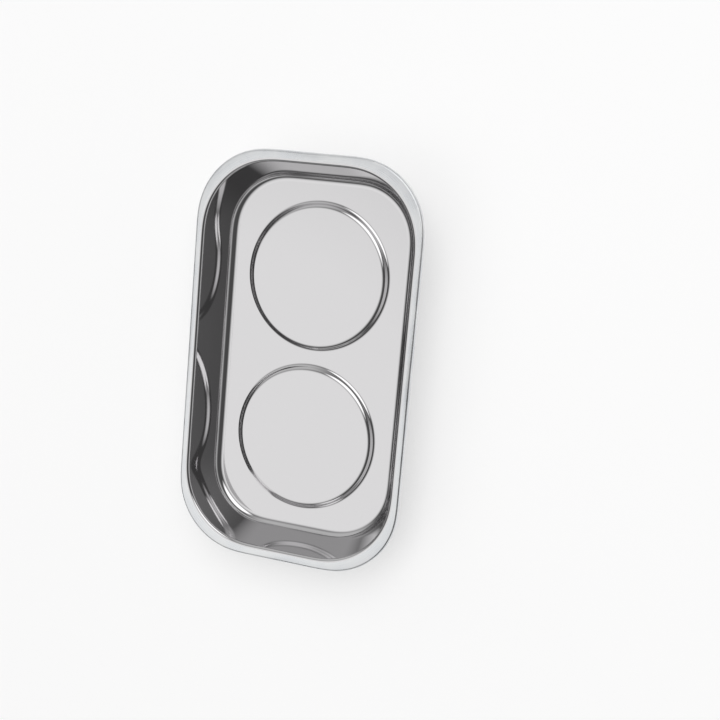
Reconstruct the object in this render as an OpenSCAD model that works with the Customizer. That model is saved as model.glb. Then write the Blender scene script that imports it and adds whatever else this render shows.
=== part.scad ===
// Magnetic parts tray: a pressed steel dish that stands on two booted ring magnets.
// The origin is on the standing surface, below the middle of the dish.
// +X runs across the dish, +Y along it towards the rear, +Z up.

/* [Dish] */
// Length of the dish over its rim
tray_l = 241; // [225:1:320]
// Width of the dish over its rim
tray_w = 140; // [126:1:190]
// Height from the dish floor to the top of the rim
dish_depth = 24.8; // [18:0.2:40]
// Thickness of the pressed sheet
sheet_t = 0.7; // [0.5:0.1:1]
// How far the wall leans inwards between the rim and the floor
wall_run = 7.8; // [4:0.2:12]
// Inside radius where the wall meets the floor
floor_bend_r = 5; // [3:0.5:7]

/* [Rim] */
// Corner radius of the outer edge of the rim
rim_corner_r = 42; // [30:1:50]
// Corner radius of the mouth, where the planes of the rim and the wall meet
mouth_corner_r = 42; // [36:1:50]
// Width of the rim along the long sides
rim_side_w = 5.2; // [4.4:0.2:8]
// Width of the rim along the short ends
rim_end_w = 6.4; // [4.4:0.2:8]
// Outside radius of the bend between the rim and the wall
mouth_bend_r = 2; // [1.2:0.1:2.4]
// Outside radius of the bend at the outer edge of the rim
lip_bend_r = 1.4; // [1.1:0.1:1.8]
// Height of the turned-down outer edge
lip_h = 2.2; // [1.9:0.1:4]

/* [Seats] */
// Height by which each magnet seat is raised above the floor
seat_step_h = 2; // [1.2:0.1:3]
// Width of the sloped step around a seat
seat_step_w = 4.9; // [4:0.1:6]
// Flat floor left between the two seats
seat_gap = 7; // [4:0.5:12]

/* [Magnets] */
// Outer diameter of the ring magnet
magnet_d = 72; // [60:1:76]
// Bore of the ring magnet
magnet_bore_d = 32; // [30:1:38]
// Height of the ring magnet
magnet_h = 10; // [9:0.5:16]
// Bevel on the edges of the ring magnet
magnet_bevel = 0.8; // [0.4:0.1:1.2]
// Thickness of the steel pole plate
plate_t = 2; // [1.5:0.1:3]
// Bevel on the edges of the pole plate
plate_bevel = 0.3; // [0.1:0.1:0.5]

/* [Boots] */
// Thickness of the rubber under the magnet
boot_base_t = 2.5; // [2:0.1:4]
// Thickness of the outer rubber wall
boot_wall_t = 3.3; // [2.5:0.1:4]
// Thickness of the wall of the well
well_wall_t = 3; // [2:0.1:3.4]
// Thickness of the clamped web over the well
web_t = 2.8; // [2:0.1:3.2]
// Radius of the lower outer edge
boot_edge_r = 2; // [1:0.1:2.3]
// Number of grip grooves under the boot
groove_count = 3; // [1:1:5]
// Width of a grip groove
groove_w = 1.6; // [1:0.1:2.4]
// Depth of a grip groove
groove_depth = 0.8; // [0.4:0.1:1.2]

/* [Fasteners] */
// Diameter of the stud's thread
thread_d = 6; // [5:0.5:7]
// Diameter of the stud's welded head
stud_head_d = 13; // [11:0.5:15]
// Length of the stud that shows below the nut
stud_tail = 0.8; // [0.4:0.1:1.2]
// Bevel on the tip of the stud
stud_bevel = 0.6; // [0.3:0.1:0.9]
// Outer diameter of the flat washer
washer_d = 18; // [16:0.5:20]
// Thickness of the flat washer
washer_t = 1.6; // [1:0.1:2]
// Outer diameter of the spring lock washer
lock_d = 11.8; // [10.5:0.1:13]
// Thickness of the spring lock washer
lock_t = 1.6; // [1:0.1:1.8]
// Width of the split in the spring lock washer
lock_split = 1.2; // [0.6:0.1:2]
// Slant of the split from upright, in degrees
lock_slant = 25; // [0:5:35]
// Width of the nut across its flats
nut_flats = 10; // [9:0.5:12]
// Height of the nut
nut_h = 3.2; // [2.4:0.1:3.6]

/* [Clearances] */
// Gap between the magnet and the rubber beside it
magnet_clear = 0.3; // [0.1:0.1:0.5]
// Gap between the boot and the step of its seat
seat_clear = 0.5; // [0.2:0.1:1]
// Gap around the stud's head and below it, in the pole plate
head_clear = 0.4; // [0.2:0.1:0.6]
// Radial gap between the stud and the holes of the web and the washers
hole_clear = 0.2; // [0.1:0.1:0.4]
// Radial gap that stands for the thread between the stud and the nut
thread_clear = 0.05; // [0.03:0.01:0.1]

/* [Hidden] */
$fn = 96;

// Overrun of every cut past the faces that it opens
overrun = 1;
// Sides of a hexagon, and the slope of the bevel on a nut's corners and in its bore
hex_sides = 6;
nut_bevel_slope = tan(30);
// Which way each magnet unit lies along the dish
rear = 1;
front = -1;

// Heights of the stack, from the standing surface up
magnet_z = boot_base_t;
plate_z = magnet_z + magnet_h;
seat_z = plate_z + plate_t;
floor_z = seat_z + sheet_t - seat_step_h;
rim_z = floor_z + dish_depth;
web_z = plate_z - web_t;
washer_z = web_z - washer_t;
lock_z = washer_z - lock_t;
nut_z = lock_z - nut_h;
stud_z = nut_z - stud_tail;

// The boot fits round the magnet, the seat fits round the boot
boot_r = magnet_d / 2 + magnet_clear + boot_wall_t;
well_r = magnet_bore_d / 2 - magnet_clear - well_wall_t;
seat_top_r = boot_r + seat_clear;
seat_r = seat_top_r + seat_step_w;
seat_pitch = 2 * seat_r + seat_gap;

// The step of a seat is two equal arcs, measured at the middle of the sheet
step_turn = 2 * atan(seat_step_h / seat_step_w);
step_r = (seat_step_w * seat_step_w + seat_step_h * seat_step_h) / (4 * seat_step_h);

// The wall leans out from upright by this angle, and both bends turn by the rest of a right angle
lean = atan(wall_run / dish_depth);
bend_tangent = tan((90 - lean) / 2);
// Radii about the corner centres of the mouth: where the flat floor ends and the flat rim starts
floor_corner_r = mouth_corner_r - wall_run - floor_bend_r * bend_tangent;
rim_start_r = mouth_corner_r + mouth_bend_r * bend_tangent;
// Corner centres of the mouth and of the rim
mouth_core = [tray_w / 2 - rim_side_w - mouth_corner_r, tray_l / 2 - rim_end_w - mouth_corner_r];
rim_core = [tray_w / 2 - rim_corner_r, tray_l / 2 - rim_corner_r];

// Part of a flat ring between two angles less than half a turn apart
module ring_sector(inner_r, outer_r, from_a, to_a) {
    reach = 2 * outer_r;
    function ray(a) = [reach * cos(a), reach * sin(a)];
    intersection() {
        difference() {
            circle(outer_r);
            circle(inner_r);
        }
        polygon([[0, 0], ray(from_a), ray((from_a + to_a) / 2), ray(to_a)]);
    }
}

// Rectangle with round corners, given by its corner centres and its radius
module round_outline(core, r) {
    square([2 * core.x, 2 * (core.y + r)], center = true);
    square([2 * (core.x + r), 2 * core.y], center = true);
    for (x = [-core.x, core.x], y = [-core.y, core.y])
        translate([x, y]) circle(r);
}

// Carries a profile round the four corners and along the four sides of a rectangle
module frame_sweep(core) {
    for (i = [0 : 3]) {
        half = i % 2 == 0 ? core : [core.y, core.x];
        rotate([0, 0, 90 * i]) translate([half.x, half.y, 0]) {
            rotate_extrude(angle = 90) children();
            rotate([90, 0, 0]) linear_extrude(2 * half.y) children();
        }
    }
}

// Ring turned about the Z axis, with bevelled edges
module bevelled_ring(inner_r, outer_r, h, bevel) {
    rotate_extrude() polygon([
        [inner_r, bevel], [inner_r + bevel, 0], [outer_r - bevel, 0], [outer_r, bevel],
        [outer_r, h - bevel], [outer_r - bevel, h], [inner_r + bevel, h], [inner_r, h - bevel],
    ]);
}

// Flat ring with square edges
module flat_ring(inner_r, outer_r, h) {
    linear_extrude(h) difference() {
        circle(outer_r);
        circle(inner_r);
    }
}

// Places a magnet unit under its seat
module at_seat(side) {
    translate([0, side * seat_pitch / 2, 0]) children();
}

// Section of the wall: bend at the floor, leaning wall, bend at the mouth
module wall_profile() {
    floor_centre = [floor_corner_r, floor_z + floor_bend_r];
    mouth_centre = [rim_start_r, rim_z - mouth_bend_r];
    inward = [-cos(lean), sin(lean)];
    translate(floor_centre) ring_sector(floor_bend_r, floor_bend_r + sheet_t, 270, 360 - lean);
    polygon([
        floor_centre - floor_bend_r * inward,
        floor_centre - (floor_bend_r + sheet_t) * inward,
        mouth_centre + (mouth_bend_r - sheet_t) * inward,
        mouth_centre + mouth_bend_r * inward,
    ]);
    translate(mouth_centre) ring_sector(mouth_bend_r - sheet_t, mouth_bend_r, 90, 180 - lean);
}

// Section of the turned-down outer edge of the rim
module lip_profile() {
    translate([rim_corner_r - lip_bend_r, rim_z - lip_bend_r])
        ring_sector(lip_bend_r - sheet_t, lip_bend_r, 0, 90);
    translate([rim_corner_r - sheet_t, rim_z - lip_h])
        square([sheet_t, lip_h - lip_bend_r]);
}

// Section of a raised seat, from its middle to the flat floor
module seat_profile() {
    middle = sheet_t / 2;
    translate([0, seat_z]) square([seat_top_r, sheet_t]);
    translate([seat_top_r, seat_z + middle - step_r])
        ring_sector(step_r - middle, step_r + middle, 90 - step_turn, 90);
    translate([seat_r, floor_z - middle + step_r])
        ring_sector(step_r - middle, step_r + middle, 270 - step_turn, 270);
}

module dish() {
    color("silver") union() {
        frame_sweep(mouth_core) wall_profile();
        frame_sweep(rim_core) lip_profile();
        translate([0, 0, rim_z - sheet_t]) linear_extrude(sheet_t) difference() {
            round_outline(rim_core, rim_corner_r - lip_bend_r);
            round_outline(mouth_core, rim_start_r);
        }
        translate([0, 0, floor_z - sheet_t]) linear_extrude(sheet_t) difference() {
            round_outline(mouth_core, floor_corner_r);
            for (side = [rear, front])
                at_seat(side) circle(seat_r);
        }
        for (side = [rear, front])
            at_seat(side) rotate_extrude() seat_profile();
    }
}

// Stud welded under the seat, with its head inside the pole plate
module stud() {
    head_z = plate_z + head_clear;
    color("gainsboro") rotate_extrude() polygon([
        [0, stud_z], [thread_d / 2 - stud_bevel, stud_z], [thread_d / 2, stud_z + stud_bevel],
        [thread_d / 2, head_z], [stud_head_d / 2, head_z], [stud_head_d / 2, seat_z], [0, seat_z],
    ]);
}

module plate() {
    color("lightsteelblue") translate([0, 0, plate_z])
        bevelled_ring(stud_head_d / 2 + head_clear, magnet_d / 2, plate_t, plate_bevel);
}

module magnet() {
    color("dimgray") translate([0, 0, magnet_z])
        bevelled_ring(magnet_bore_d / 2, magnet_d / 2, magnet_h, magnet_bevel);
}

// Section of the boot: outer wall with a round lower edge, base, well wall and web
module boot_profile() {
    well_outer_r = well_r + well_wall_t;
    difference() {
        union() {
            translate([well_r, boot_edge_r]) square([boot_r - well_r, seat_z - boot_edge_r]);
            translate([well_r, 0]) square([boot_r - boot_edge_r - well_r, boot_edge_r]);
            translate([boot_r - boot_edge_r, boot_edge_r])
                ring_sector(0, boot_edge_r, 270, 360);
            translate([thread_d / 2 + hole_clear, web_z]) square([well_r - thread_d / 2 - hole_clear, web_t]);
        }
        translate([well_outer_r, boot_base_t])
            square([boot_r - boot_wall_t - well_outer_r, seat_z - boot_base_t + overrun]);
        translate([0, plate_z]) square([well_outer_r + overrun, seat_z - plate_z + overrun]);
    }
}

module boot() {
    grip_from_r = well_r + well_wall_t;
    grip_step = (boot_r - boot_edge_r - grip_from_r) / (groove_count + 1);
    color([0.11, 0.11, 0.12]) difference() {
        rotate_extrude() boot_profile();
        for (i = [1 : groove_count]) {
            groove_r = grip_from_r + i * grip_step;
            translate([0, 0, -overrun])
                flat_ring(groove_r - groove_w / 2, groove_r + groove_w / 2, groove_depth + overrun);
        }
    }
}

module washer() {
    color("gainsboro") translate([0, 0, washer_z])
        flat_ring(thread_d / 2 + hole_clear, washer_d / 2, washer_t);
}

module lock_washer() {
    color("silver") translate([0, 0, lock_z]) difference() {
        flat_ring(thread_d / 2 + hole_clear, lock_d / 2, lock_t);
        translate([0, 0, lock_t / 2]) rotate([lock_slant, 0, 0])
            translate([0, -lock_split / 2, -lock_d]) cube([lock_d, lock_split, 2 * lock_d]);
    }
}

// Thin hex nut with bevelled corners and a bevelled bore
module nut() {
    bore_r = thread_d / 2 + thread_clear;
    corner_r = nut_flats / 2 / cos(180 / hex_sides);
    bevel_h = (corner_r - nut_flats / 2) * nut_bevel_slope;
    color("gainsboro") translate([0, 0, nut_z]) intersection() {
        linear_extrude(nut_h) difference() {
            circle(corner_r, $fn = hex_sides);
            circle(bore_r);
        }
        rotate_extrude() polygon([
            [bore_r + bevel_h, 0], [nut_flats / 2, 0], [corner_r, bevel_h], [corner_r, nut_h - bevel_h],
            [nut_flats / 2, nut_h], [bore_r + bevel_h, nut_h], [bore_r, nut_h - bevel_h], [bore_r, bevel_h],
        ]);
    }
}

dish();
at_seat(rear) stud();  // rear_stud
at_seat(rear) plate();  // rear_plate
at_seat(rear) magnet();  // rear_magnet
at_seat(rear) boot();  // rear_boot
at_seat(rear) washer();  // rear_washer
at_seat(rear) lock_washer();  // rear_lock_washer
at_seat(rear) nut();  // rear_nut
at_seat(front) stud();  // front_stud
at_seat(front) plate();  // front_plate
at_seat(front) magnet();  // front_magnet
at_seat(front) boot();  // front_boot
at_seat(front) washer();  // front_washer
at_seat(front) lock_washer();  // front_lock_washer
at_seat(front) nut();  // front_nut
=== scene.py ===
"""Magnetic parts tray: a pressed stainless dish on two booted ring magnets, seen from above on white."""
import logging
import math
from dataclasses import dataclass
from enum import Enum

import bpy
import numpy as np
from mathutils import Matrix, Vector


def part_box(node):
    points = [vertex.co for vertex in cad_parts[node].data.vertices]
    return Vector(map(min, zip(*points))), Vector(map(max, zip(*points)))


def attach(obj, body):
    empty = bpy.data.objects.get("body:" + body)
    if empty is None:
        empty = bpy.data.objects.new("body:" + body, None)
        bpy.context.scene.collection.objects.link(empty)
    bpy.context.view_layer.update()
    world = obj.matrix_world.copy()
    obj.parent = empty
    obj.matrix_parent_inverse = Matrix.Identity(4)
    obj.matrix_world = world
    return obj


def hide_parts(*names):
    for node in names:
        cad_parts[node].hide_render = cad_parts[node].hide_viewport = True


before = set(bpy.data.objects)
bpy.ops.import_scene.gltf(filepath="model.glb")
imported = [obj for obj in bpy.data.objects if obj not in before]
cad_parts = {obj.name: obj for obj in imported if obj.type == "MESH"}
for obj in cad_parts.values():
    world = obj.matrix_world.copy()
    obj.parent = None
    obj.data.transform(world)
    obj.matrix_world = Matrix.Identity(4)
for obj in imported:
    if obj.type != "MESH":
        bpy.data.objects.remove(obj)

Array = np.ndarray
Profile = tuple[Array, Array]
Span = tuple[float, float]
Place = tuple[float, float, float]
Colour = tuple[float, float, float, float]
Material = bpy.types.Material
Piece = bpy.types.Object
Socket = bpy.types.NodeSocket
Tree = bpy.types.NodeTree

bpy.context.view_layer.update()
BODY = "root"
MM = 0.001
# Points of two patches that are closer than this become one point of the mesh
WELD_MM = 1e-4
UP = np.array([0.0, 0.0, 1.0])
WHITE = "#FFFFFF"
# Name of a piece's map of texture places, along its run and across it
RUN_MAP = "Along"
# Most values of a noise texture lie in this span
NOISE_SPAN = (0.3, 0.7)
# A mix node's colour sockets share their names with its number sockets, so they go by number
MIX_FIRST, MIX_SECOND, MIX_RESULT = 6, 7, 2
log = logging.getLogger("parts_tray")


class Side(Enum):
    """The two magnet units, by the end of the dish that they lie under."""

    REAR = "rear"
    FRONT = "front"


class Sheet(Enum):
    """Finishes of the pressed sheet, by their place in the dish's list of materials."""

    INSIDE = 0
    RIM = 1
    OUTSIDE = 2


def linear(hex_colour: str) -> Colour:
    """Turns an sRGB hex colour into linear light.

    A low channel is divided by 12.92. Any other has 0.055 added, is divided by 1.055 and raised to 2.4.

    Args:
        hex_colour: The colour as "#RRGGBB".

    Returns:
        Linear red, green and blue, and an alpha of one.
    """
    channel = np.array([int(hex_colour[i:i + 2], 16) for i in (1, 3, 5)]) / 255
    light = np.where(channel <= 0.04045, channel / 12.92, ((channel + 0.055) / 1.055) ** 2.4)
    return (*map(float, light), 1.0)


def add(tree: Tree, kind: str, inputs: dict[str | int, object] | None = None,
        **settings: str) -> bpy.types.Node:
    """Adds one node to a tree, with its settings and links.

    Args:
        tree: The tree of a material or of the world.
        kind: The node's type.
        inputs: Input socket, by name or number, to the output linked to it or to its constant value.
        settings: Properties of the node itself.

    Returns:
        The new node.
    """
    node = tree.nodes.new(kind)
    for name, value in settings.items():
        setattr(node, name, value)
    for socket, value in (inputs or {}).items():
        if isinstance(value, Socket):
            tree.links.new(value, node.inputs[socket])
        else:
            node.inputs[socket].default_value = value
    return node


def new_material(name: str) -> tuple[Material, Tree]:
    """Makes an empty node material.

    Args:
        name: The finish that the material shows.

    Returns:
        The material and its node tree.
    """
    material = bpy.data.materials.new(name)
    material.use_nodes = True
    material.node_tree.nodes.clear()
    return material, material.node_tree


def unit(vectors: Array) -> Array:
    """The same vectors at a length of one."""
    return vectors / np.linalg.norm(vectors, axis=-1, keepdims=True)


def running_sum(rate: Array, way: Array) -> Array:
    """The sum of a rate along a way, from nothing at its start, taking each step at its mean rate."""
    step = np.diff(way).reshape(-1, *[1] * (rate.ndim - 1))
    return np.concatenate([0 * rate[:1], np.cumsum((rate[1:] + rate[:-1]) / 2 * step, axis=0)])


def run_length(points: Array) -> Array:
    """Length along a line of points, from its first one."""
    return np.concatenate([[0.0], np.cumsum(np.linalg.norm(np.diff(points, axis=0), axis=1))])


@dataclass(frozen=True)
class Patch:
    """A grid of surface points in millimetres, with outward normals, texture places and a finish.

    The first two axes of each array are the grid's rows and columns.
    """

    points: Array
    normals: Array
    uv: Array
    finish: int = 0

    def offset(self, distance: float, finish: Sheet) -> "Patch":
        """The other face of a sheet: each point moved back along its normal, facing the other way."""
        return Patch(self.points - distance * self.normals, -self.normals, self.uv, finish.value)

    def mirrored(self) -> "Patch":
        """The same patch on the other side of the XZ plane."""
        flip = np.array([1.0, -1.0, 1.0])
        return Patch(self.points * flip, self.normals * flip, self.uv * flip[:2], self.finish)

    def cells(self) -> Array:
        """The cells of the grid, wound so that their faces look along the normals.

        The way that a cell faces is the cross product of its diagonals. Where the cells face against the
        normals on the whole, they are wound the other way.

        Returns:
            Point numbers at the four corners of each cell, shaped (n, 4).
        """
        rows, columns = self.points.shape[:2]
        index = np.arange(rows * columns).reshape(rows, columns)
        quads = np.stack([index[:-1, :-1], index[:-1, 1:], index[1:, 1:], index[1:, :-1]], -1)
        quads = quads.reshape(-1, 4)
        flat = self.points.reshape(-1, 3)
        facing = np.cross(flat[quads[:, 2]] - flat[quads[:, 0]], flat[quads[:, 3]] - flat[quads[:, 1]])
        along = (facing * self.normals.reshape(-1, 3)[quads].sum(1)).sum()
        return quads if along > 0 else quads[:, ::-1]


def piece_from(name: str, patches: list[Patch], materials: list[Material]) -> Piece:
    """Joins patches into one closed mesh object that keeps each patch's own normals.

    Points of different patches at one place are welded. A cell side of no length is dropped, so that a
    row drawn together in one point becomes a fan of triangles.

    Args:
        name: The piece's name.
        patches: The surfaces that close the piece.
        materials: The piece's finishes, in the order that the patches number them.

    Returns:
        The object, which rides on the tray's body.
    """
    points = np.concatenate([patch.points.reshape(-1, 3) for patch in patches])
    normals = np.concatenate([patch.normals.reshape(-1, 3) for patch in patches])
    uv = np.concatenate([patch.uv.reshape(-1, 2) for patch in patches])
    starts = np.cumsum([0] + [patch.points.shape[0] * patch.points.shape[1] for patch in patches])
    cells = [patch.cells() + start for patch, start in zip(patches, starts)]
    finish = np.concatenate([np.full(len(cell), patch.finish) for cell, patch in zip(cells, patches)])
    quads = np.concatenate(cells)
    grid = np.round(points / WELD_MM)
    _, first, welded = np.unique(grid, axis=0, return_index=True, return_inverse=True)
    corners = welded.reshape(-1)[quads]
    keep = corners != np.roll(corners, -1, axis=1)
    keep &= (keep.sum(1) > 2)[:, None]
    counts = keep.sum(1)
    faces = counts > 0

    mesh = bpy.data.meshes.new(name)
    mesh.vertices.add(len(first))
    mesh.vertices.foreach_set("co", (points[first] * MM).ravel())
    mesh.loops.add(int(counts.sum()))
    mesh.loops.foreach_set("vertex_index", corners[keep])
    mesh.polygons.add(int(faces.sum()))
    mesh.polygons.foreach_set("loop_start", np.cumsum(counts[faces]) - counts[faces])
    mesh.polygons.foreach_set("material_index", finish[faces])
    mesh.polygons.foreach_set("use_smooth", np.ones(int(faces.sum()), bool))
    mesh.update(calc_edges=True)
    layer = mesh.uv_layers.new(name=RUN_MAP)
    layer.data.foreach_set("uv", (uv[quads[keep]] * MM).ravel())
    mesh.normals_split_custom_set(normals[quads[keep]])
    for material in materials:
        mesh.materials.append(material)
    piece = bpy.data.objects.new(name, mesh)
    bpy.context.scene.collection.objects.link(piece)
    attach(piece, BODY)
    log.info("%s: %d faces", name, len(mesh.polygons))
    return piece


def rounded_profile(corners: Array, radii: Array, steps: int, closed: bool) -> Profile:
    """An outline in a plane with a round arc at each corner, and its normals on the right of travel.

    Each arc has its centre on the bisector of its corner, at radius over the sine of half the corner's
    angle. A point of the arc is the centre plus the radius times the normal at a left turn, and minus it
    at a right turn, where the normal swings evenly from the side before to the side after.

    Args:
        corners: Corner points, shaped (n, 2).
        radii: Radius at each corner; an open outline ignores its first and last.
        steps: Spans of each arc.
        closed: Whether the outline returns to its start.

    Returns:
        Points and unit normals along the outline, each shaped (m, 2).
    """
    corners, radii = np.asarray(corners, float), np.asarray(radii, float)
    middle = slice(None) if closed else slice(1, -1)
    before = unit((corners - np.roll(corners, 1, axis=0))[middle])
    after = unit((np.roll(corners, -1, axis=0) - corners)[middle])
    turn = np.arctan2(before[:, 0] * after[:, 1] - before[:, 1] * after[:, 0], (before * after).sum(1))
    radius = radii[middle]
    centre = corners[middle] + unit(after - before) * (radius / np.cos(turn / 2))[:, None]
    start = np.arctan2(-before[:, 0], before[:, 1])
    angle = start[:, None] + turn[:, None] * np.linspace(0, 1, steps + 1)
    swing = np.stack([np.cos(angle), np.sin(angle)], -1)
    points = (centre[:, None] + (np.sign(turn) * radius)[:, None, None] * swing).reshape(-1, 2)
    normals = swing.reshape(-1, 2)
    if closed:
        return np.concatenate([points, points[:1]]), np.concatenate([normals, normals[:1]])
    return (np.concatenate([corners[:1], points, corners[-1:]]),
            np.concatenate([normals[:1], normals, normals[-1:]]))


def swung(profile: Profile, angle: Array, centre: Span) -> tuple[Array, Array]:
    """A profile of radius and height swung about an upright axis.

    A point is the centre, plus its radius along the ray at its angle, plus its height upwards. Its normal
    is made from the profile's normal in the same way.

    Args:
        profile: Points and normals of the profile, each shaped (n, 2).
        angle: Angles of the columns, shaped (m,), or those of each profile point, shaped (n, m).
        centre: Place of the axis.

    Returns:
        Points and normals of the surface, each shaped (n, m, 3).
    """
    points, normals = profile
    ray = np.stack([np.cos(angle), np.sin(angle), np.zeros_like(angle)], -1)
    surface = points[:, :1, None] * ray + points[:, 1:, None] * UP + np.array([*centre, 0.0])
    return surface, normals[:, :1, None] * ray + normals[:, 1:, None] * UP


def turned(profile: Profile, centre: Span, columns: int) -> Patch:
    """A profile of radius and height turned once about an upright axis.

    Args:
        profile: Points and normals of the profile.
        centre: Place of the axis.
        columns: Steps round the axis.

    Returns:
        The surface of revolution.
    """
    angle = np.linspace(0, 2 * math.pi, columns + 1)
    around = angle * profile[0][:, 0].max()
    uv = np.stack(np.meshgrid(around, run_length(profile[0])), -1)
    return Patch(*swung(profile, angle, centre), uv)


@dataclass(frozen=True)
class PressedDish:
    """The dish: one sheet pressed into a floor with two raised seats, leaning walls and a flat rim.

    Sizes are in millimetres. The overall size, the heights and the places of the seats come from the frame.
    """

    half_w: float
    half_l: float
    floor_under_z: float
    rim_z: float
    seat_y: float
    seat_top_r: float
    sheet_t: float = 0.7
    wall_run: float = 7.8
    floor_bend_r: float = 5.0
    corner_r: float = 42.0
    corner_ease: float = 16.0
    rim_side_w: float = 5.2
    rim_end_w: float = 6.4
    mouth_bend_r: float = 2.0
    lip_bend_r: float = 1.4
    lip_h: float = 2.2
    seat_step_h: float = 2.0
    seat_step_w: float = 4.9
    flat_margin: float = 0.25
    rim_droop: float = 0.15
    rim_spans: int = 8
    side_spans: int = 20
    corner_spans: int = 48
    corner_steps: int = 40
    bend_spans: int = 12
    floor_spans: int = 3

    @classmethod
    def from_frame(cls, seat_clear: float = 0.5) -> "PressedDish":
        """The dish that the frame holds.

        Args:
            seat_clear: Gap between a boot and the step of its seat.

        Returns:
            The dish at the frame's size.
        """
        low, high = (np.array(corner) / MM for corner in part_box("dish"))
        boot_low, boot_high = (np.array(corner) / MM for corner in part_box("rear_boot"))
        boot_r = (boot_high[0] - boot_low[0]) / 2
        return cls(half_w=float(high[0]), half_l=float(high[1]),
                   floor_under_z=float(low[2]), rim_z=float(high[2]),
                   seat_y=float(boot_low[1] + boot_r), seat_top_r=float(boot_r + seat_clear))

    @property
    def floor_z(self) -> float:
        """Height of the upper face of the floor."""
        return self.floor_under_z + self.sheet_t

    def corner(self) -> tuple[Array, Array]:
        """The line of the rear right corner, which eases from straight to round and back.

        Its bend grows evenly from nothing to that of the corner radius, stays so, and falls off again. Its
        turn is the running sum of the bend, a quarter turn in all, and its line that of the heading.

        Returns:
            Points from the core rectangle's corner, and unit directions out of the dish, each shaped (n, 2).
        """
        radius, ease = self.corner_r, self.corner_ease
        way = np.linspace(0, radius * math.pi / 2 + ease, self.corner_spans * self.corner_steps + 1)
        turn = running_sum(np.clip(np.minimum(way, way[-1] - way) / ease, 0, 1), way)
        turn *= math.pi / 2 / turn[-1]
        line = running_sum(np.stack([-np.sin(turn), np.cos(turn)], -1), way)
        line += np.array([radius, radius - line[-1, 1]])
        direction = np.stack([np.cos(turn), np.sin(turn)], -1)
        return line[::self.corner_steps], direction[::self.corner_steps]

    def outline(self) -> tuple[Array, Array, Array]:
        """The rear half of a rectangle with eased corners, from the right side round to the left.

        A point of the outline is its place on the core rectangle, whose corners are the corner centres,
        plus its offset from there.

        Returns:
            Places on a core rectangle from -1 to 1 each way, offsets from them, and unit directions out of
            the dish, each shaped (n, 2).
        """
        line, direction = self.corner()
        radius, short, flip = self.corner_r, line[0, 1], np.array([-1.0, 1.0])
        side = np.linspace(0, 1, self.side_spans + 1)[:-1]
        end, one, corner = 1 - 2 * side, np.ones_like(side), np.ones(len(line) - 1)
        last = np.linspace(1, 0, self.side_spans + 1)
        # Right side, rear right corner, rear end, rear left corner and left side: place, offset, direction
        runs = [
            (one, side, radius * one, short * side, one, 0 * one),
            (corner, corner, *line[:-1].T, *direction[:-1].T),
            (end, one, short * end, radius * one, 0 * one, one),
            (-corner, corner, *(line[:0:-1] * flip).T, *(direction[:0:-1] * flip).T),
            (0 * last - 1, last, 0 * last - radius, short * last, 0 * last - 1, 0 * last)]
        columns = np.concatenate([np.stack(run, -1) for run in runs])
        return columns[:, :2], columns[:, 2:4], columns[:, 4:]

    def carried(self, profile: Profile, core: Array, finish: Sheet) -> Patch:
        """A profile of radius and height carried round half the outline.

        A point is the outline's point, moved out of the dish by its radius less the corner radius, at its
        own height.

        Args:
            profile: Points and normals of the profile.
            core: Half sizes of the core rectangle.
            finish: The sheet's finish there.

        Returns:
            The swept surface.
        """
        points, normals = profile
        place, offset, direction = self.outline()
        level = np.broadcast_to(points[:, None, 1:], (len(points), len(place), 1))
        out = (points[:, :1, None] - self.corner_r) * direction
        surface = np.concatenate([place * core + offset + out, level], -1)
        tilt = np.broadcast_to(normals[:, None, 1:], level.shape)
        facing = np.concatenate([normals[:, :1, None] * direction, tilt], -1)
        around = run_length(surface[0, :, :2])
        uv = np.stack(np.meshgrid(around, run_length(points)), -1)
        return Patch(surface, facing, uv, finish.value)

    def wall(self) -> Patch:
        """The bend at the mouth, the leaning wall and the bend at the floor.

        Returns:
            The upper face of the wall, from the rim to the floor.
        """
        lean = math.atan(self.wall_run / (self.rim_z - self.floor_z))
        tangent = math.tan((math.pi / 2 - lean) / 2)
        brink = self.corner_r
        core = np.array([self.half_w - self.rim_side_w - brink, self.half_l - self.rim_end_w - brink])
        foot = brink - self.wall_run
        profile = rounded_profile(
            [[brink + self.mouth_bend_r * tangent + self.flat_margin, self.rim_z], [brink, self.rim_z],
             [foot, self.floor_z], [foot - self.floor_bend_r * tangent - self.flat_margin, self.floor_z]],
            [0, self.mouth_bend_r, self.floor_bend_r, 0], self.bend_spans, False)
        return self.carried(profile, core, Sheet.INSIDE)

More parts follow.
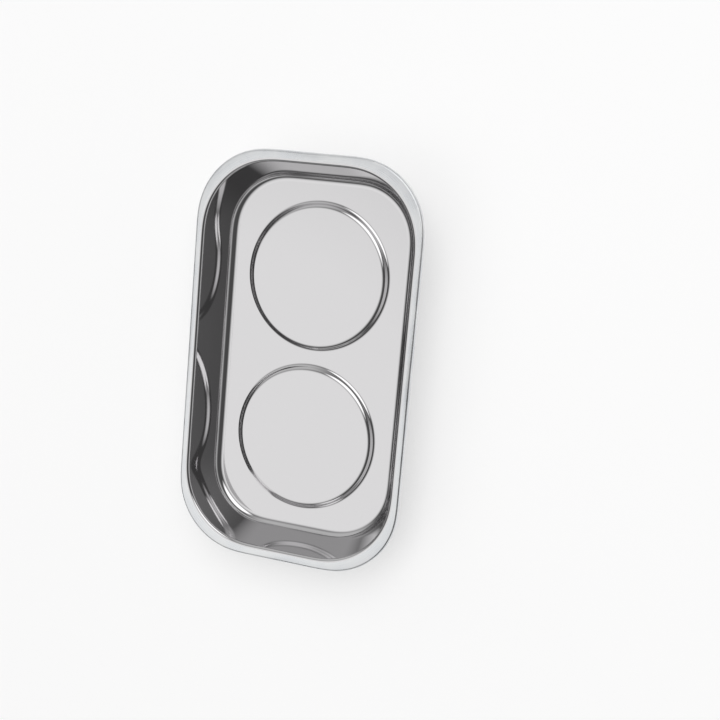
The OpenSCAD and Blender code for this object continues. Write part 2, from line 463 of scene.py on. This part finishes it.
    def rim(self) -> list[Patch]:
        """The rim: straight lines across it from the mouth, its bend, the turned-down lip and its edge.

        The rim droops towards the lip by the square of the share of its width, as a drawn sheet springs
        back, and its normals lean by the slope of that curve.

        Returns:
            The lip, the flat of the rim, and the edge that joins the lip's two faces.
        """
        edge_r, top = self.corner_r, self.rim_z
        core = np.array([self.half_w - edge_r, self.half_l - edge_r])
        lip = self.carried(rounded_profile(
            [[edge_r, top - self.lip_h], [edge_r, top], [edge_r - self.lip_bend_r - self.flat_margin, top]],
            [0, self.lip_bend_r, 0], self.bend_spans, False), core, Sheet.RIM)
        mouth = self.wall().points[0]
        share = np.linspace(0, 1, self.rim_spans + 1)[:, None, None]
        across = lip.points[-1] - mouth
        width = np.linalg.norm(across, axis=-1, keepdims=True)
        lean = 2 * self.rim_droop / width ** 2 * across
        points = mouth + share * across - self.rim_droop * share ** 2 * UP
        inward = lip.uv[-1, 0, 1] + ((1 - share) * width)[..., 0]
        uv = np.stack(np.broadcast_arrays(lip.uv[-1, :, 0], inward), -1)
        flat = Patch(points, unit(UP + share * lean), uv, Sheet.RIM.value)
        facing = unit(lip.normals + np.clip(lip.normals[..., 2:], 0, 1) * lean)
        lip = Patch(lip.points - self.rim_droop * UP, facing, lip.uv, Sheet.RIM.value)
        brim = np.stack([lip.points[0], lip.offset(self.sheet_t, Sheet.OUTSIDE).points[0]])
        edge = Patch(brim, np.broadcast_to(-UP, brim.shape), lip.uv[:2], Sheet.RIM.value)
        return [lip, flat, edge]

    def seat_profile(self) -> Profile:
        """The step of a seat, two arcs that meet halfway up, then the flat top in to the seat's middle.

        The arcs of the sheet's middle turn by twice the angle whose tangent is the step's height over its
        width. The upper face lies half a sheet inside the lower arc and half a sheet outside the upper one.

        Returns:
            Points and normals of radius and height.
        """
        turn = 2 * math.atan(self.seat_step_h / self.seat_step_w)
        middle_r = (self.seat_step_w ** 2 + self.seat_step_h ** 2) / (4 * self.seat_step_h)
        foot_r, brow_r = middle_r - self.sheet_t / 2, middle_r + self.sheet_t / 2
        outer, top = self.seat_top_r + self.seat_step_w, self.floor_z + self.seat_step_h
        return rounded_profile(
            [[outer + self.flat_margin, self.floor_z], [outer - foot_r * math.tan(turn / 2), self.floor_z],
             [self.seat_top_r + brow_r * math.tan(turn / 2), top], [0, top]],
            [0, foot_r, brow_r, 0], self.bend_spans, False)

    def half_floor(self) -> list[Patch]:
        """The rear half of the floor: a seat, and straight rays from it to the wall and the middle line.

        Returns:
            The flat floor and the seat.
        """
        wall = self.wall().points[-1]
        middle = np.linspace(wall[-1], wall[0], self.corner_spans + 1)[1:]
        edge = np.concatenate([wall, middle])
        angle = np.arctan2(edge[:, 1] - self.seat_y, edge[:, 0])
        seat, facing = swung(self.seat_profile(), angle, (0.0, self.seat_y))
        share = np.linspace(0, 1, self.floor_spans + 1)[:, None, None]
        flat = (1 - share) * edge + share * seat[0]
        return [Patch(flat, np.broadcast_to(UP, flat.shape), flat[..., :2], Sheet.INSIDE.value),
                Patch(seat, facing, seat[..., :2], Sheet.INSIDE.value)]

    def build(self, finishes: list[Material]) -> Piece:
        """Makes the dish, closed by its two faces and the edge of its lip.

        Args:
            finishes: Materials in the order of Sheet.

        Returns:
            The dish.
        """
        lip, flat, edge = self.rim()
        faces = [lip, flat, self.wall(), *self.half_floor()]
        half = [edge, *faces, *(face.offset(self.sheet_t, Sheet.OUTSIDE) for face in faces)]
        dish = piece_from("dish_pressed", half + [patch.mirrored() for patch in half], finishes)
        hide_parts("dish")
        return dish


@dataclass(frozen=True)
class MagnetUnit:
    """One magnet unit: boot, ring magnet, pole plate, weld stud, washers and nut, on one upright axis.

    Sizes are in millimetres. Heights and outer sizes come from the frame.
    """

    side: Side
    boot_base_t: float = 2.5
    well_wall_t: float = 3.0
    web_t: float = 2.8
    boot_edge_r: float = 2.0
    boot_round: float = 0.4
    sole_round: float = 0.8
    groove_count: int = 3
    groove_w: float = 1.6
    groove_depth: float = 0.8
    groove_round: float = 0.25
    flash_w: float = 0.5
    flash_h: float = 0.15
    flash_round: float = 0.0625
    magnet_clear: float = 0.3
    hole_clear: float = 0.2
    head_clear: float = 0.4
    thread_pitch: float = 1.0
    thread_depth: float = 0.6
    ridge_gain: float = 1.15
    ridge_sink: float = 0.05
    tip_bevel: float = 0.6
    metal_round: float = 0.15
    lock_split_deg: float = 15.0
    lock_slant: float = 0.45
    columns: int = 128
    stud_columns: int = 64
    pitch_spans: int = 16
    boot_spans: int = 6
    metal_spans: int = 4

    def node(self, name: str) -> str:
        """Name of one of the unit's CAD nodes."""
        return f"{self.side.value}_{name}"

    def box(self, name: str) -> tuple[Array, Array]:
        """Lowest and highest corner of one of the unit's CAD nodes, in millimetres."""
        low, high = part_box(self.node(name))
        return np.array(low) / MM, np.array(high) / MM

    def radius(self, name: str) -> float:
        """Outer radius of one of the unit's round CAD nodes."""
        low, high = self.box(name)
        return float(high[0] - low[0]) / 2

    @property
    def centre(self) -> Span:
        """Place of the unit's axis."""
        low, high = self.box("boot")
        return 0.0, float(low[1] + high[1]) / 2

    def bore_r(self, name: str) -> float:
        """Radius of the hole through one of the unit's ring-shaped CAD nodes.

        It is the least distance of the node's mesh points from the axis, to a hundredth of a millimetre.

        Args:
            name: The node's name without its side.

        Returns:
            The radius in millimetres.
        """
        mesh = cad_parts[self.node(name)].data
        places = np.empty(len(mesh.vertices) * 3, np.float32)
        mesh.vertices.foreach_get("co", places)
        reach = np.linalg.norm(places.reshape(-1, 3)[:, :2] / MM - np.array(self.centre), axis=1)
        return round(float(reach.min()), 2)

    @property
    def thread_r(self) -> float:
        """Outer radius of the stud's thread, which passes through the washer."""
        return round(self.bore_r("washer") - self.hole_clear, 2)

    def keep(self, piece: Piece, name: str, slot: str) -> Piece:
        """Lets a piece stand for one of the unit's CAD nodes, which is hidden."""
        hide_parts(self.node(name))
        return piece

    def boot_profile(self) -> Profile:
        """Section of the boot: web, well, grooved sole, outer wall with its moulding line, magnet pocket.

        The grooves share the sole evenly between the well and the round of its outer edge.

        Returns:
            Points and normals of radius and height.
        """
        boot_r, pocket_r = self.radius("boot"), self.radius("magnet") + self.magnet_clear
        top_z, plate_z = float(self.box("boot")[1][2]), float(self.box("plate")[0][2])
        web_z = plate_z - self.web_t
        hole_r = self.thread_r + self.hole_clear
        well_out_r = self.bore_r("magnet") - self.magnet_clear
        well_r = well_out_r - self.well_wall_t
        step = (boot_r - self.boot_edge_r - well_out_r) / (self.groove_count + 1)
        rings = well_out_r + step * np.arange(1, self.groove_count + 1)
        inner, outer = rings - self.groove_w / 2, rings + self.groove_w / 2
        sole, deep = 0 * rings, 0 * rings + self.groove_depth
        grooves = np.stack([inner, sole, inner, deep, outer, deep, outer, sole], -1).reshape(-1, 2)
        flash_z, wide = (top_z - self.boot_edge_r) / 2, self.flash_w / 2
        well = [[hole_r, web_z], [well_r, web_z], [well_r, 0]]
        flash = [[boot_r, flash_z - wide], [boot_r + self.flash_h, flash_z], [boot_r, flash_z + wide]]
        pocket = [[boot_r, top_z], [pocket_r, top_z], [pocket_r, self.boot_base_t],
                  [well_out_r, self.boot_base_t], [well_out_r, plate_z], [hole_r, plate_z]]
        corners = np.concatenate([well, grooves, [[boot_r, 0]], flash, pocket])
        radii = np.concatenate([
            [self.boot_round, self.boot_round, self.sole_round],
            np.full(len(grooves), self.groove_round), [self.boot_edge_r],
            np.full(len(flash), self.flash_round), np.full(len(pocket), self.boot_round)])
        return rounded_profile(corners, radii, self.boot_spans, True)

    def build_boot(self, rubber: Material) -> Piece:
        """Makes the moulded boot, its section turned about the unit's axis.

        Args:
            rubber: The boot's finish.

        Returns:
            The boot.
        """
        body = turned(self.boot_profile(), self.centre, self.columns)
        boot = piece_from(self.node("boot_moulded"), [body], [rubber])
        return self.keep(boot, "boot", "boot_rubber")

    def ring_section(self, name: str) -> Profile:
        """Section of a flat ring round the stud: a rectangle with slightly round edges.

        Args:
            name: The ring's node without its side.

        Returns:
            Points and normals of radius and height.
        """
        low, high = self.box(name)
        inner, outer = self.thread_r + self.hole_clear, self.radius(name)
        corners = [[inner, low[2]], [outer, low[2]], [outer, high[2]], [inner, high[2]]]
        return rounded_profile(corners, np.full(len(corners), self.metal_round), self.metal_spans, True)

    def build_washer(self, zinc: Material) -> Piece:
        """Makes the punched flat washer, its section turned about the unit's axis.

        Args:
            zinc: The washer's finish.

        Returns:
            The washer.
        """
        ring = turned(self.ring_section("washer"), self.centre, self.columns)
        washer = piece_from(self.node("washer_punched"), [ring], [zinc])
        return self.keep(washer, "washer", "zinc_plated_steel")

    def build_lock_washer(self, spring: Material) -> Piece:
        """Makes the spring lock washer: its section carried round all but the split, whose ends slant.

        The angle of a point is its share of the way round, plus a slant that grows with its height.

        Args:
            spring: The lock washer's finish.

        Returns:
            The lock washer.
        """
        low, high = self.box("lock_washer")
        section, outer = self.ring_section("lock_washer"), self.radius("lock_washer")
        gap = math.radians(self.lock_split_deg)
        way = np.linspace(gap / 2, 2 * math.pi - gap / 2, self.columns)
        slant = self.lock_slant * (section[0][:, 1:] - (low[2] + high[2]) / 2) / outer
        surface, facing = swung(section, way[None] + slant, self.centre)
        uv = np.stack(np.meshgrid(way * outer, run_length(section[0])), -1)
        patches = [Patch(surface, facing, uv)]
        for column, sign in ((0, -1.0), (-1, 1.0)):
            loop = surface[:, column]
            fan = np.stack([loop, np.broadcast_to(loop[:-1].mean(0), loop.shape)])
            tangent = sign * np.array([-math.sin(way[column]), math.cos(way[column]), 0.0])
            patches.append(Patch(fan, np.broadcast_to(tangent, fan.shape), fan[..., 1:]))
        lock = piece_from(self.node("lock_washer_split"), patches, [spring])
        return self.keep(lock, "lock_washer", "spring_steel")

    def thread(self, tip_z: float, head_z: float) -> Patch:
        """The rolled thread of the stud, with a bevelled tip.

        Its radius at an angle and a height follows a ridge that climbs one pitch a turn. The ridge is a
        triangle wave, made a little taller and cut flat at its root and crest. A cone bevels the tip.

        Args:
            tip_z: Height of the stud's tip.
            head_z: Height of the underside of its head.

        Returns:
            The surface of the thread.
        """
        crest_r = self.thread_r
        angle = np.linspace(0, 2 * math.pi, self.stud_columns + 1)
        rows = int((head_z - tip_z) / self.thread_pitch * self.pitch_spans) + 1
        height = np.linspace(tip_z, head_z, rows)[:, None]
        phase = (height / self.thread_pitch - angle / (2 * math.pi)) % 1.0
        ridge = np.clip(self.ridge_gain * (1 - np.abs(2 * phase - 1)) - self.ridge_sink, 0, 1)
        cone = crest_r - self.tip_bevel + (height - tip_z)
        radius = np.minimum(crest_r - self.thread_depth * (1 - ridge), cone)
        ray = np.stack([np.cos(angle), np.sin(angle), np.zeros_like(angle)], -1)
        points = radius[..., None] * ray + height[..., None] * UP + np.array([*self.centre, 0.0])
        facing = unit(np.cross(np.gradient(points, axis=1), np.gradient(points, axis=0)))
        return Patch(points, facing, np.stack(np.broadcast_arrays(angle * crest_r, height), -1))

    def build_stud(self, zinc: Material) -> Piece:
        """Makes the weld stud: a rolled thread with a flat tip, below a head that is a rounded disc.

        Args:
            zinc: The stud's finish.

        Returns:
            The stud.
        """
        low, high = self.box("stud")
        head_z = float(self.box("plate")[0][2]) + self.head_clear
        head_r, edge_r = self.radius("stud"), self.metal_round
        thread = self.thread(low[2], head_z)
        head = turned(rounded_profile(
            [[self.thread_r, head_z], [head_r, head_z], [head_r, high[2]], [0, high[2]]],
            [0, edge_r, edge_r, 0], self.metal_spans, False), self.centre, self.stud_columns)
        tip = np.broadcast_to(np.array([*self.centre, low[2]]), thread.points[0].shape)
        caps = [np.stack([thread.points[0], tip]), np.stack([thread.points[-1], head.points[0]])]
        closing = [Patch(cap, np.broadcast_to(-UP, cap.shape), cap[..., :2]) for cap in caps]
        stud = piece_from(self.node("stud_threaded"), [thread, *closing, head], [zinc])
        return self.keep(stud, "stud", "zinc_plated_steel")

    def dress(self, finishes: dict[str, Material]) -> None:
        """Gives the CAD nodes that stay their finish.

        Args:
            finishes: Node name without its side, to its material.
        """
        for name, material in finishes.items():
            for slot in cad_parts[self.node(name)].material_slots:
                slot.material = material
            log.info("%s: %s", self.node(name), material.name)


@dataclass(frozen=True)
class PolishedStainless:
    """Inside of the dish: bright-annealed stainless sheet, buffed after pressing.

    It gives a clear mirror that wavers a little, because the pressing leaves the sheet slightly uneven,
    with a haze of wipe marks that only shows in the highlights.
    """

    colour: str = "#CCCBCC"
    roughness: Span = (0.035, 0.075)
    haze_mm: float = 28.0
    haze_span: Span = (0.35, 0.7)
    wave_mm: float = 42.0
    wave_height_mm: float = 0.06

    def material(self) -> Material:
        """Makes the node material.

        Returns:
            The material.
        """
        material, tree = new_material("stainless_polished")
        place = add(tree, "ShaderNodeTexCoord").outputs["Object"]
        haze = add(tree, "ShaderNodeTexNoise", {
            "Vector": place, "Scale": 1 / (self.haze_mm * MM), "Detail": 5.0, "Roughness": 0.6})
        dull = add(tree, "ShaderNodeMapRange", {
            "Value": haze.outputs["Fac"], "From Min": self.haze_span[0], "From Max": self.haze_span[1],
            "To Min": self.roughness[0], "To Max": self.roughness[1]})
        wave = add(tree, "ShaderNodeTexNoise", {
            "Vector": place, "Scale": 1 / (self.wave_mm * MM), "Detail": 1.0})
        bump = add(tree, "ShaderNodeBump", {
            "Height": wave.outputs["Fac"], "Strength": 1.0, "Distance": self.wave_height_mm * MM})
        shader = add(tree, "ShaderNodeBsdfPrincipled", {
            "Base Color": linear(self.colour), "Metallic": 1.0, "Roughness": dull.outputs["Result"],
            "Normal": bump.outputs["Normal"]})
        add(tree, "ShaderNodeOutputMaterial", {"Surface": shader.outputs["BSDF"]})
        return material


@dataclass(frozen=True)
class SatinStainless:
    """Rim of the dish: stainless sheet brushed along its run with a fine abrasive belt.

    It gives a soft pale sheen with faint streaks that follow the rim round its corners.
    """

    colours: tuple[str, str] = ("#D3D5D8", "#EBECEC")
    roughness: Span = (0.24, 0.38)
    streak_mm: Span = (24.0, 0.5)
    blotch_mm: float = 14.0
    dull_span: Span = (0.7, 1.3)
    rub_span: Span = (0.75, 1.25)
    groove_height_mm: float = 0.004
    wave_mm: float = 34.0
    wave_height_mm: float = 0.25

    def material(self) -> Material:
        """Makes the node material.

        The streaks are drawn wider than the belt's 0.1 mm grit, so that they show. The spans of wear are
        those of two noises added together.

        Returns:
            The material.
        """
        material, tree = new_material("stainless_satin")
        along = add(tree, "ShaderNodeUVMap", uv_map=RUN_MAP).outputs["UV"]
        stretched = add(tree, "ShaderNodeMapping", {"Vector": along, "Scale": tuple(
            1 / (size * MM) for size in (*self.streak_mm, self.streak_mm[1]))})
        streak = add(tree, "ShaderNodeTexNoise", {
            "Vector": stretched.outputs["Vector"], "Scale": 1.0, "Detail": 4.0, "Roughness": 0.65})
        place = add(tree, "ShaderNodeTexCoord").outputs["Object"]
        blotch = add(tree, "ShaderNodeTexNoise", {
            "Vector": place, "Scale": 1 / (self.blotch_mm * MM), "Detail": 3.0})
        wear = add(tree, "ShaderNodeMath", {0: streak.outputs["Fac"], 1: blotch.outputs["Fac"]},
                   operation="ADD").outputs["Value"]
        dull = add(tree, "ShaderNodeMapRange", {
            "Value": wear, "From Min": self.dull_span[0], "From Max": self.dull_span[1],
            "To Min": self.roughness[0], "To Max": self.roughness[1]})
        rubbed = add(tree, "ShaderNodeMapRange", {
            "Value": wear, "From Min": self.rub_span[0], "From Max": self.rub_span[1]})
        colour = add(tree, "ShaderNodeMix", {
            "Factor": rubbed.outputs["Result"], MIX_FIRST: linear(self.colours[0]),
            MIX_SECOND: linear(self.colours[1])}, data_type="RGBA")
        grooves = add(tree, "ShaderNodeBump", {
            "Height": streak.outputs["Fac"], "Strength": 1.0, "Distance": self.groove_height_mm * MM})
        wave = add(tree, "ShaderNodeTexNoise", {
            "Vector": place, "Scale": 1 / (self.wave_mm * MM), "Detail": 0.0})
        uneven = add(tree, "ShaderNodeBump", {
            "Height": wave.outputs["Fac"], "Strength": 1.0, "Distance": self.wave_height_mm * MM,
            "Normal": grooves.outputs["Normal"]})
        shader = add(tree, "ShaderNodeBsdfPrincipled", {
            "Base Color": colour.outputs[MIX_RESULT], "Metallic": 1.0, "Roughness": dull.outputs["Result"],
            "Normal": uneven.outputs["Normal"]})
        add(tree, "ShaderNodeOutputMaterial", {"Surface": shader.outputs["BSDF"]})
        return material


@dataclass(frozen=True)
class MillStainless:
    """Outside of the dish: bright-annealed stainless sheet as it left the press, not buffed.

    It gives a soft grey reflection, with faint upright lines where the sheet was drawn over the die.
    """

    colour: str = "#C6C5C6"
    roughness: Span = (0.17, 0.25)
    line_mm: Span = (1.2, 40.0)
    line_height_mm: float = 0.003
    cloud_mm: float = 30.0

    def material(self) -> Material:
        """Makes the node material. The lines are drawn wider than the die's 0.1 mm scores, so that they show.

        Returns:
            The material.
        """
        material, tree = new_material("stainless_mill")
        along = add(tree, "ShaderNodeUVMap", uv_map=RUN_MAP).outputs["UV"]
        stretched = add(tree, "ShaderNodeMapping", {"Vector": along, "Scale": tuple(
            1 / (size * MM) for size in (*self.line_mm, self.line_mm[1]))})
        line = add(tree, "ShaderNodeTexNoise", {
            "Vector": stretched.outputs["Vector"], "Scale": 1.0, "Detail": 2.0})
        place = add(tree, "ShaderNodeTexCoord").outputs["Object"]
        cloud = add(tree, "ShaderNodeTexNoise", {
            "Vector": place, "Scale": 1 / (self.cloud_mm * MM), "Detail": 3.0})
        dull = add(tree, "ShaderNodeMapRange", {
            "Value": cloud.outputs["Fac"], "From Min": NOISE_SPAN[0], "From Max": NOISE_SPAN[1],
            "To Min": self.roughness[0], "To Max": self.roughness[1]})
        bump = add(tree, "ShaderNodeBump", {
            "Height": line.outputs["Fac"], "Strength": 1.0, "Distance": self.line_height_mm * MM})
        shader = add(tree, "ShaderNodeBsdfPrincipled", {
            "Base Color": linear(self.colour), "Metallic": 1.0, "Roughness": dull.outputs["Result"],
            "Normal": bump.outputs["Normal"]})
        add(tree, "ShaderNodeOutputMaterial", {"Surface": shader.outputs["BSDF"]})
        return material


@dataclass(frozen=True)
class PlatedSteel:
    """Small steel pieces: zinc plate over turned, punched or rolled steel, or bare spring steel.

    It gives a bluish or neutral grey sheen, with a fine mottle where the plate's crystals differ.
    """

    name: str
    colours: tuple[str, str]
    roughness: Span
    mottle_mm: float = 0.8

    def material(self) -> Material:
        """Makes the node material.

        Returns:
            The material.
        """
        material, tree = new_material(self.name)
        place = add(tree, "ShaderNodeTexCoord").outputs["Object"]
        mottle = add(tree, "ShaderNodeTexNoise", {
            "Vector": place, "Scale": 1 / (self.mottle_mm * MM), "Detail": 3.0})
        colour = add(tree, "ShaderNodeMix", {
            "Factor": mottle.outputs["Fac"], MIX_FIRST: linear(self.colours[0]),
            MIX_SECOND: linear(self.colours[1])}, data_type="RGBA")
        dull = add(tree, "ShaderNodeMapRange", {
            "Value": mottle.outputs["Fac"], "From Min": NOISE_SPAN[0], "From Max": NOISE_SPAN[1],
            "To Min": self.roughness[0], "To Max": self.roughness[1]})
        shader = add(tree, "ShaderNodeBsdfPrincipled", {
            "Base Color": colour.outputs[MIX_RESULT], "Metallic": 1.0, "Roughness": dull.outputs["Result"]})
        add(tree, "ShaderNodeOutputMaterial", {"Surface": shader.outputs["BSDF"]})
        return material


@dataclass(frozen=True)
class MouldedMatter:
    """Pieces made in a mould from powder or gum: sintered ferrite and black nitrile rubber.

    It gives a dark matt surface with a fine grain and paler bloom or dust in patches.
    """

    name: str
    colours: tuple[str, str]
    roughness: Span
    grain_mm: float
    grain_height_mm: float
    bloom_mm: float
    bloom_span: Span = (0.35, 0.7)

    def material(self) -> Material:
        """Makes the node material.

        Returns:
            The material.
        """
        material, tree = new_material(self.name)
        place = add(tree, "ShaderNodeTexCoord").outputs["Object"]
        bloom = add(tree, "ShaderNodeTexNoise", {
            "Vector": place, "Scale": 1 / (self.bloom_mm * MM), "Detail": 4.0})
        grain = add(tree, "ShaderNodeTexNoise", {
            "Vector": place, "Scale": 1 / (self.grain_mm * MM), "Detail": 2.0})
        patchy = add(tree, "ShaderNodeMapRange", {
            "Value": bloom.outputs["Fac"], "From Min": self.bloom_span[0], "From Max": self.bloom_span[1]})
        colour = add(tree, "ShaderNodeMix", {
            "Factor": patchy.outputs["Result"], MIX_FIRST: linear(self.colours[0]),
            MIX_SECOND: linear(self.colours[1])}, data_type="RGBA")
        dull = add(tree, "ShaderNodeMapRange", {
            "Value": grain.outputs["Fac"], "From Min": NOISE_SPAN[0], "From Max": NOISE_SPAN[1],
            "To Min": self.roughness[0], "To Max": self.roughness[1]})
        bump = add(tree, "ShaderNodeBump", {
            "Height": grain.outputs["Fac"], "Strength": 1.0, "Distance": self.grain_height_mm * MM})
        shader = add(tree, "ShaderNodeBsdfPrincipled", {
            "Base Color": colour.outputs[MIX_RESULT], "Roughness": dull.outputs["Result"],
            "Normal": bump.outputs["Normal"]})
        add(tree, "ShaderNodeOutputMaterial", {"Surface": shader.outputs["BSDF"]})
        return material


@dataclass(frozen=True)
class PhotoCamera:
    """The photograph's viewpoint, in the tray's frame and millimetres."""

    place: Place = (263.3, 122.9, 679.8)
    aim: Place = (39.2, 7.3, 38.0)
    roll_deg: float = -5.07
    focal_px: float = 1217.0
    frame_px: float = 720.0
    sensor_mm: float = 36.0

    def build(self) -> None:
        """Makes the camera. Its up is the dish's length, rolled about the line of sight."""
        back = (Vector(self.place) - Vector(self.aim)).normalized()
        level = Vector((0, 1, 0)).cross(back).normalized()
        roll = math.radians(self.roll_deg)
        up = back.cross(level) * math.cos(roll) + level * math.sin(roll)
        data = bpy.data.cameras.new("photo_camera")
        data.sensor_width = self.sensor_mm
        data.lens = self.focal_px / self.frame_px * self.sensor_mm
        camera = bpy.data.objects.new("photo_camera", data)
        turn = Matrix((up.cross(back), up, back)).transposed().to_4x4()
        camera.matrix_world = Matrix.Translation(Vector(self.place) * MM) @ turn
        bpy.context.scene.collection.objects.link(camera)
        bpy.context.scene.camera = camera


@dataclass(frozen=True)
class Panel:
    """A round panel of the room, seen from the tray: the way to it, its level, and its soft edge.

    The edge is two angles from the panel's middle, where the panel has faded out and where it is whole.
    """

    way: Place
    level: float
    edge_deg: Span

    def fade(self, tree: Tree, way: Socket, outside: float) -> Socket:
        """Adds the panel to the room. Across its edge, its level follows the cosine of the angle.

        Args:
            tree: The world's tree.
            way: Output that holds the direction looked in.
            outside: The level beyond the panel's edge.

        Returns:
            The output that holds the panel's level.
        """
        cosine = add(tree, "ShaderNodeVectorMath", {0: way, 1: tuple(Vector(self.way).normalized())},
                     operation="DOT_PRODUCT")
        faded, whole = (math.cos(math.radians(angle)) for angle in self.edge_deg)
        level = add(tree, "ShaderNodeMapRange", {
            "Value": cosine.outputs["Value"], "From Min": faded, "From Max": whole,
            "To Min": outside, "To Max": self.level})
        return level.outputs["Result"]


@dataclass(frozen=True)
class Studio:
    """White floor, a soft box, and a dim room with a pale horizon, three bright panels and a dark card.

    The first panel hangs where the flat of the dish mirrors the camera, so the flat is pale. The second
    draws the white streak on the steps of the seats, and the third brightens the flat as seen from the
    front right. The card dims the part of the horizon that the bend round the flat mirrors, which gives the
    flat its dark outline. The soft box lights the floor and the rubber, and the metal doesn't mirror it.
    """

    floor_half_m: float = 6.0
    floor_drop_m: float = 0.0003
    floor_glow: float = 0.5
    lamp_place_m: Place = (0.84, 1.89, 3.65)
    lamp_size_m: float = 3.6
    lamp_power_w: float = 80.0
    room_level: float = 0.1
    horizon_level: float = 0.8
    horizon_band: Span = (0.08, 0.58)
    panels: tuple[Panel, ...] = (
        Panel(way=(-0.42, -0.25, 0.872), level=1.15, edge_deg=(40.0, 10.0)),
        Panel(way=(0.2, 0.45, 0.87), level=1.8, edge_deg=(25.0, 17.0)),
        Panel(way=(-0.55, 0.66, 0.48), level=0.7, edge_deg=(42.0, 15.0)))
    card: Panel = Panel(way=(-0.87, -0.45, 0.08), level=0.2, edge_deg=(60.0, 25.0))

    def build(self) -> None:
        """Makes the floor, the lamp and the room's light."""
        self.build_floor()
        self.build_lamp()
        self.build_room()

    def build_floor(self) -> None:
        """Makes a flat white floor that can be seen through from below.

        The camera and the metal's reflections see part of it as plain white, so its shadow is light.
        """
        reach, level = self.floor_half_m, -self.floor_drop_m
        corners = [(x * reach, y * reach, level) for x, y in ((-1, -1), (1, -1), (1, 1), (-1, 1))]
        mesh = bpy.data.meshes.new("floor")
        mesh.from_pydata(corners, [], [range(len(corners))])
        floor = bpy.data.objects.new("floor", mesh)
        bpy.context.scene.collection.objects.link(floor)
        material, tree = new_material("floor_white_paper")
        paper = add(tree, "ShaderNodeBsdfDiffuse", {"Color": linear(WHITE)})
        white = add(tree, "ShaderNodeEmission", {"Color": linear(WHITE), "Strength": 1.0})
        ray = add(tree, "ShaderNodeLightPath").outputs
        mirrored = add(tree, "ShaderNodeMath", {0: ray["Is Glossy Ray"], 1: ray["Is Transmission Ray"]},
                       operation="MAXIMUM")
        seen = add(tree, "ShaderNodeMath", {0: ray["Is Camera Ray"], 1: mirrored.outputs["Value"]},
                   operation="MAXIMUM")
        share = add(tree, "ShaderNodeMath", {0: seen.outputs["Value"], 1: self.floor_glow},
                    operation="MULTIPLY")
        pale = add(tree, "ShaderNodeMixShader", {
            0: share.outputs["Value"], 1: paper.outputs["BSDF"], 2: white.outputs["Emission"]})
        clear = add(tree, "ShaderNodeBsdfTransparent")
        below = add(tree, "ShaderNodeNewGeometry").outputs["Backfacing"]
        shown = add(tree, "ShaderNodeMixShader", {
            0: below, 1: pale.outputs["Shader"], 2: clear.outputs["BSDF"]})
        add(tree, "ShaderNodeOutputMaterial", {"Surface": shown.outputs["Shader"]})
        mesh.materials.append(material)

    def build_lamp(self) -> None:
        """Makes a square soft box that looks at the tray, hidden from the metal's reflections."""
        data = bpy.data.lights.new("soft_box", "AREA")
        data.size = self.lamp_size_m
        data.energy = self.lamp_power_w
        lamp = bpy.data.objects.new("soft_box", data)
        lamp.location = self.lamp_place_m
        lamp.rotation_euler = Vector(self.lamp_place_m).to_track_quat("Z", "Y").to_euler()
        lamp.visible_glossy = False
        bpy.context.scene.collection.objects.link(lamp)

    def build_room(self) -> None:
        """Makes the room's light.

        A pale horizon fades upwards to the room's level, the card dims it on one side, and each panel
        shows where it is brighter than what lies behind it.
        """
        world = bpy.data.worlds.new("studio_room")
        world.use_nodes = True
        tree = world.node_tree
        tree.nodes.clear()
        way = add(tree, "ShaderNodeTexCoord").outputs["Generated"]
        height = add(tree, "ShaderNodeSeparateXYZ", {0: way}).outputs["Z"]
        horizon = add(tree, "ShaderNodeMapRange", {
            "Value": height, "From Min": self.horizon_band[0], "From Max": self.horizon_band[1],
            "To Min": self.horizon_level, "To Max": self.room_level}, interpolation_type="SMOOTHSTEP")
        level = add(tree, "ShaderNodeMath", {
            0: horizon.outputs["Result"], 1: self.card.fade(tree, way, outside=1.0)},
            operation="MULTIPLY").outputs["Value"]
        for panel in self.panels:
            level = add(tree, "ShaderNodeMath", {0: level, 1: panel.fade(tree, way, outside=0.0)},
                        operation="MAXIMUM").outputs["Value"]
        light = add(tree, "ShaderNodeBackground", {"Color": linear(WHITE), "Strength": level})
        add(tree, "ShaderNodeOutputWorld", {"Surface": light.outputs["Background"]})
        bpy.context.scene.world = world


def main() -> None:
    """Builds the camera, the studio, the dish and both magnet units."""
    logging.basicConfig(level=logging.INFO, format="%(name)s: %(message)s")
    bpy.context.scene.view_settings.view_transform = "Standard"
    PhotoCamera().build()
    Studio().build()

    inside, rim, outside = PolishedStainless(), SatinStainless(), MillStainless()
    PressedDish.from_frame().build([inside.material(), rim.material(), outside.material()])

    zinc = PlatedSteel("steel_zinc_plated", ("#C9D0D8", "#E2E4E3"), (0.16, 0.3)).material()
    spring = PlatedSteel("steel_spring_bright", ("#8F9092", "#B4B3B0"), (0.25, 0.4)).material()
    plate = PlatedSteel("steel_pole_plate", ("#B9C0C8", "#D2D4D2"), (0.25, 0.42), mottle_mm=2.5).material()
    ferrite = MouldedMatter("ferrite_sintered", ("#25262A", "#3A3B3E"), (0.5, 0.75),
                            grain_mm=0.4, grain_height_mm=0.02, bloom_mm=9.0).material()
    rubber = MouldedMatter("nitrile_rubber", ("#151516", "#212123"), (0.55, 0.75),
                           grain_mm=0.5, grain_height_mm=0.03, bloom_mm=18.0).material()
    for side in Side:
        magnet_unit = MagnetUnit(side)
        magnet_unit.build_boot(rubber)
        magnet_unit.build_washer(zinc)
        magnet_unit.build_lock_washer(spring)
        magnet_unit.build_stud(zinc)
        magnet_unit.dress({"plate": plate, "magnet": ferrite, "nut": zinc})
        log.info("%s magnet unit built at y = %.1f mm", side.value, magnet_unit.centre[1])


if __name__ == "__main__":
    main()
